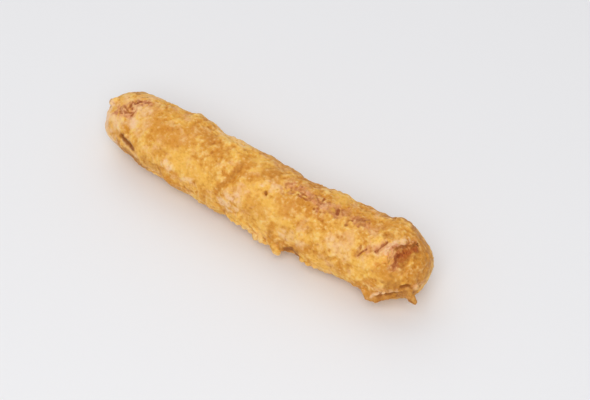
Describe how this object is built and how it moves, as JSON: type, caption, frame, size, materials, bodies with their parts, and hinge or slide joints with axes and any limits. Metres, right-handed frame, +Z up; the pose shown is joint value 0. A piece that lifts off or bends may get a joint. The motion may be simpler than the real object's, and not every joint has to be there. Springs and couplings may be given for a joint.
{
  "type": "battered sausage",
  "caption": "Large deep-fried sausage in a craggy golden batter coat, lying on its side, with a torn hood and a flap of batter at one end and a slit at the other.",
  "frame": {"origin": "centre of the bounding box's bottom face, on the surface that the sausage lies on", "axes": "+X along the sausage towards the end with the torn hood and the flap, +Y towards its far side, away from the fringe of drips, +Z up"},
  "size_m": [0.1982, 0.0444, 0.0396],
  "materials": {
    "batter": "matte golden fried crust with a slight oily sheen"
  },
  "bodies": {
    "root": {"battered_sausage": "batter"}
  },
  "joints": []
}
